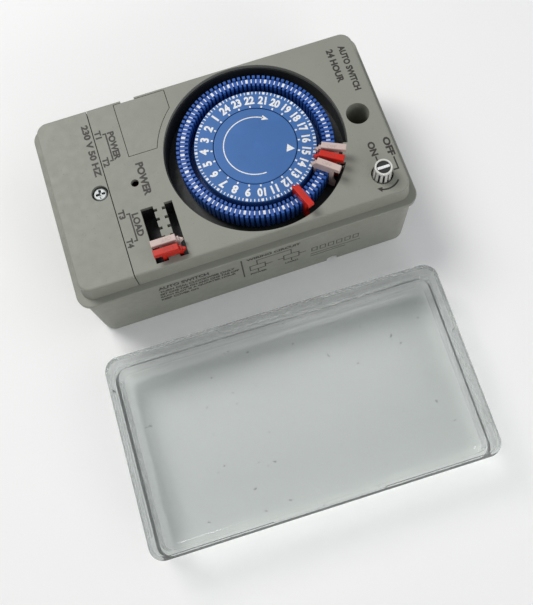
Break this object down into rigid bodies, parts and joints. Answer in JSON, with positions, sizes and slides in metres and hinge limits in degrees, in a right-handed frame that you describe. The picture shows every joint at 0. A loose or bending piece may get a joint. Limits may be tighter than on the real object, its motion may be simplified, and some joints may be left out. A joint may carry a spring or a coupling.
{
  "type": "programmable timer",
  "caption": "Wall-mounted 24-hour time switch with a turning tab dial, manual knob, spare-tab rail, battery door, terminal cover and clear cover.",
  "frame": {"origin": "centre of the timer's flat back face", "axes": "+Z out of the front face, +X along the case towards the upper mounting hole, +Y towards the battery door side; the clear cover lies on the -Y side"},
  "size_m": [0.1212, 0.1567, 0.0445],
  "materials": {
    "case_grey": "fine matt texture",
    "clear_plastic": "clear polystyrene, polished",
    "dial_blue": "satin blue",
    "disc_blue": "satin blue, printed white",
    "tab_red": "satin red",
    "tab_white": "satin off-white",
    "black_plastic": "satin black",
    "knob_white": "milky translucent",
    "print_white": "print",
    "print_black": "print",
    "gear_plastic": "natural acetal",
    "zinc_steel": "bright zinc plate",
    "brass": "bright",
    "silver": "contact silver",
    "board": "paper laminate",
    "capacitor_case": "dipped epoxy",
    "sleeve": "shrunk sleeve",
    "lamp_red": "tinted epoxy"
  },
  "bodies": {
    "housing": {"base_case": "case_grey", "front_case": "case_grey", "dial_well": "black_plastic", "storage_tray": "black_plastic", "battery_holder": "black_plastic", "backup_battery": "sleeve", "battery_contacts": "zinc_steel", "movement_plate": "black_plastic", "dial_post": "zinc_steel", "centre_disc": "disc_blue", "idler_pin": "zinc_steel", "star_pin": "zinc_steel", "lever_pin": "zinc_steel", "motor_can": "zinc_steel", "circuit_board": "board", "controller_chip": "black_plastic", "dropper_capacitor": "capacitor_case", "smoothing_capacitor": "sleeve", "quartz_crystal": "zinc_steel", "power_led": "lamp_red", "terminal_block": "black_plastic", "terminal_plates": "brass", "terminal_screws": "zinc_steel", "case_screws": "zinc_steel", "fixed_contact": "silver", "load_busbar": "brass"},
    "terminal_lid": {"terminal_cover": "case_grey", "terminal_cover_screw": "zinc_steel"},
    "battery_lid": {"battery_door": "case_grey"},
    "cover": {"clear_cover": "clear_plastic"},
    "dial": {"dial_ring": "dial_blue", "dial_disc": "disc_blue", "dial_gear": "gear_plastic"},
    "idler": {"idler_gear": "gear_plastic"},
    "rotor": {"motor_pinion": "brass", "motor_shaft": "zinc_steel"},
    "knob": {"manual_knob": "knob_white", "knob_insert": "black_plastic", "knob_indicator": "print_white", "knob_shaft": "gear_plastic", "knob_gear": "gear_plastic", "switch_cam": "gear_plastic"},
    "star": {"star_wheel": "gear_plastic", "star_gear": "gear_plastic"},
    "lever": {"switch_lever": "gear_plastic", "moving_contact": "silver"},
    "off_tab_1": {"off_tab_1": "tab_white"},
    "on_tab_1": {"on_tab_1": "tab_red"},
    "off_tab_2": {"off_tab_2": "tab_white"},
    "on_tab_2": {"on_tab_2": "tab_red"},
    "spare_off_tab": {"spare_off_tab": "tab_white"},
    "spare_on_tab": {"spare_on_tab": "tab_red"}
  },
  "joints": [
    {"name": "dial_turn", "type": "hinge", "parent": "housing", "child": "dial", "pos_m": [0.0125, 0, 0.037], "axis": [0, 0, -1], "continuous": true},
    {"name": "idler_turn", "type": "hinge", "parent": "housing", "child": "idler", "pos_m": [-0.0126, 0, 0.024], "axis": [0, 0, -1], "continuous": true},
    {"name": "rotor_turn", "type": "hinge", "parent": "housing", "child": "rotor", "pos_m": [-0.0214, -0.01524, 0.022], "axis": [0, 0, -1], "continuous": true},
    {"name": "knob_turn", "type": "hinge", "parent": "housing", "child": "knob", "pos_m": [0.0494, -0.0241, 0.04], "axis": [0, 0, -1], "range_deg": [0, 90]},
    {"name": "star_turn", "type": "hinge", "parent": "housing", "child": "star", "pos_m": [0.04498, -0.01446, 0.033], "axis": [0, 0, -1], "range_deg": [-90, 0]},
    {"name": "lever_swing", "type": "hinge", "parent": "housing", "child": "lever", "pos_m": [0.036, -0.0196, 0.014], "axis": [0, 0, 1], "range_deg": [0, 6.53]},
    {"name": "cover_lift", "type": "hinge", "parent": "housing", "child": "cover", "pos_m": [-0.00052, -0.04295, 0.02583], "axis": [0.9999, -0.0122, 0], "range_deg": [-180, 0]},
    {"name": "terminal_lid_lift", "type": "slide", "parent": "housing", "child": "terminal_lid", "axis": [0, 0, 1], "range_m": [0, 0.014]},
    {"name": "battery_lid_lift", "type": "slide", "parent": "housing", "child": "battery_lid", "axis": [0, 0, 1], "range_m": [0, 0.01]},
    {"name": "off_tab_1_pull", "type": "slide", "parent": "dial", "child": "off_tab_1", "axis": [0, 0, 1], "range_m": [0, 0.01]},
    {"name": "on_tab_1_pull", "type": "slide", "parent": "dial", "child": "on_tab_1", "axis": [0, 0, 1], "range_m": [0, 0.01]},
    {"name": "off_tab_2_pull", "type": "slide", "parent": "dial", "child": "off_tab_2", "axis": [0, 0, 1], "range_m": [0, 0.01]},
    {"name": "on_tab_2_pull", "type": "slide", "parent": "dial", "child": "on_tab_2", "axis": [0, 0, 1], "range_m": [0, 0.01]},
    {"name": "spare_off_tab_pull", "type": "slide", "parent": "housing", "child": "spare_off_tab", "axis": [0, 0, 1], "range_m": [0, 0.01]},
    {"name": "spare_on_tab_pull", "type": "slide", "parent": "housing", "child": "spare_on_tab", "axis": [0, 0, 1], "range_m": [0, 0.01]}
  ],
  "couplings": [
    {"joint": "idler_turn", "follows": "dial_turn", "ratio": -4},
    {"joint": "rotor_turn", "follows": "dial_turn", "ratio": 24},
    {"joint": "star_turn", "follows": "knob_turn", "ratio": -1},
    {"joint": "lever_swing", "follows": "knob_turn", "ratio": 0.07141}
  ]
}
